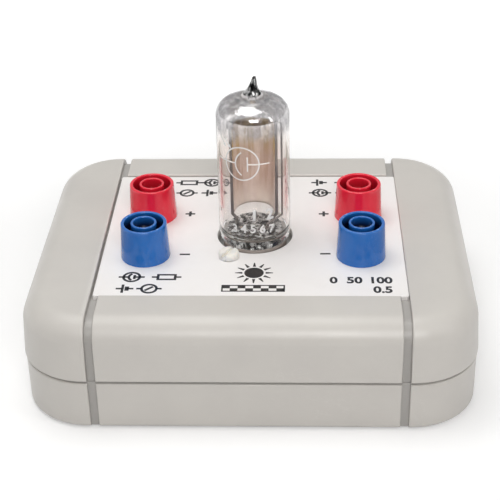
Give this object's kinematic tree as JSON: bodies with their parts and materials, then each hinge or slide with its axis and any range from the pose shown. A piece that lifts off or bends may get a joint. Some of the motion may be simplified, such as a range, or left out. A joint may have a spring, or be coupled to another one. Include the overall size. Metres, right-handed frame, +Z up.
{
  "type": "vacuum phototube unit",
  "caption": "Clear glass vacuum phototube standing in a socket on a flat two-shell plastic housing with a white panel and red and blue safety sockets.",
  "frame": {"origin": "middle of the footprint, on the surface that the feet stand on", "axes": "+Z up along the tube, +X along the housing's width to the right, the front with the blue sockets faces -Y"},
  "size_m": [0.1164, 0.0954, 0.0764],
  "materials": {
    "shell_plastic": "fine-textured warm light grey moulding",
    "panel_white": "satin white plate with black line symbols",
    "red_plastic": "glossy moulded red",
    "blue_plastic": "glossy moulded blue",
    "nickel_plate": "nickel-plated brass",
    "nut_metal": "plated steel",
    "bulb_glass": "clear blown glass with a grey film at the dome and a warm tint on the wall",
    "base_glass": "clear pressed glass",
    "pin_metal": "bright drawn wire",
    "cathode_coat": "warm tan photo-sensitive coat on thin sheet",
    "electrode_metal": "dark drawn wire",
    "socket_phenolic": "brown phenolic moulding",
    "saddle_steel": "plated sheet steel",
    "contact_metal": "tinned spring brass",
    "nylon": "natural nylon, slightly clear",
    "screw_steel": "zinc-plated steel",
    "rubber_foot": "dark grey rubber",
    "resistor_body": "tan lacquer",
    "wire_blue": "blue insulation",
    "wire_red": "red insulation",
    "wire_grey": "dark grey insulation"
  },
  "bodies": {
    "root": {"upper_shell": "shell_plastic", "lower_shell": "shell_plastic", "panel_plate": "panel_white", "socket_body_red_left": "red_plastic", "socket_sleeve_red_left": "nickel_plate", "socket_nut_red_left": "nut_metal", "socket_body_red_right": "red_plastic", "socket_sleeve_red_right": "nickel_plate", "socket_nut_red_right": "nut_metal", "socket_body_blue_left": "blue_plastic", "socket_sleeve_blue_left": "nickel_plate", "socket_nut_blue_left": "nut_metal", "socket_body_blue_right": "blue_plastic", "socket_sleeve_blue_right": "nickel_plate", "socket_nut_blue_right": "nut_metal", "glass_bulb": "bulb_glass", "glass_base": "base_glass", "base_pin_1": "pin_metal", "tube_contact_1": "contact_metal", "base_pin_2": "pin_metal", "tube_contact_2": "contact_metal", "base_pin_3": "pin_metal", "tube_contact_3": "contact_metal", "base_pin_4": "pin_metal", "tube_contact_4": "contact_metal", "base_pin_5": "pin_metal", "tube_contact_5": "contact_metal", "base_pin_6": "pin_metal", "tube_contact_6": "contact_metal", "base_pin_7": "pin_metal", "tube_contact_7": "contact_metal", "cathode_plate": "cathode_coat", "cathode_rod_left": "electrode_metal", "cathode_rod_right": "electrode_metal", "anode_wire": "electrode_metal", "getter_flag": "electrode_metal", "tube_socket_body": "socket_phenolic", "tube_socket_saddle": "saddle_steel", "tube_socket_spigot": "saddle_steel", "nylon_screw_front": "nylon", "nylon_nut_front": "nylon", "housing_screw_front_left": "screw_steel", "foot_front_left": "rubber_foot", "housing_screw_front_right": "screw_steel", "foot_front_right": "rubber_foot", "nylon_screw_rear": "nylon", "nylon_nut_rear": "nylon", "housing_screw_rear_left": "screw_steel", "foot_rear_left": "rubber_foot", "housing_screw_rear_right": "screw_steel", "foot_rear_right": "rubber_foot", "load_resistor": "resistor_body", "wire_common": "wire_blue", "wire_supply": "wire_red", "wire_cathode": "wire_grey"}
  },
  "joints": []
}
